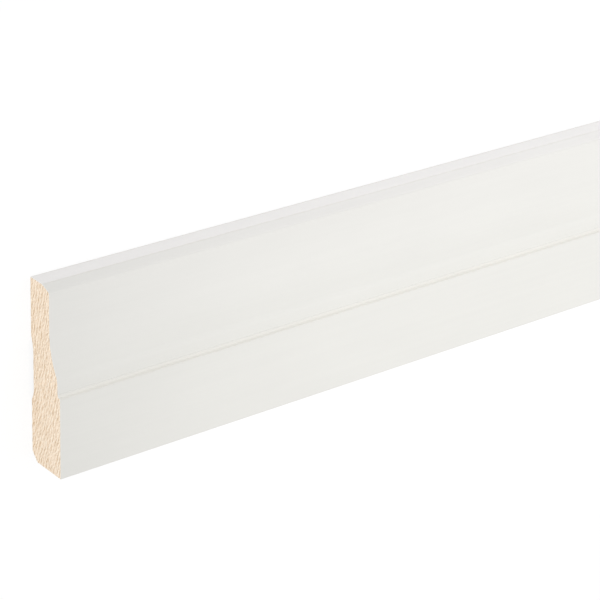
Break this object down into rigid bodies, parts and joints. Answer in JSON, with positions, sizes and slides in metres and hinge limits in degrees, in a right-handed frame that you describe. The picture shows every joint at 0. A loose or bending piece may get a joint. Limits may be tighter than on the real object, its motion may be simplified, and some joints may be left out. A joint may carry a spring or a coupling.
{
  "type": "lambs tongue architrave",
  "caption": "Straight length of primed pine architrave with a lambs tongue section: thick flat, small coved step, ogee, thin flat with a bevelled corner, and a hollowed back.",
  "frame": {"origin": "centre of the underside's bounding rectangle, on the floor plane that the back lands rest on", "axes": "+X along the length, +Y across the width towards the thin edge, +Z out of the moulded face"},
  "size_m": [2.1, 0.07, 0.018],
  "materials": {
    "primed_pine": "satin white primer, bare sawn pine at both ends"
  },
  "bodies": {
    "root": {"architrave": "primed_pine"}
  },
  "joints": []
}
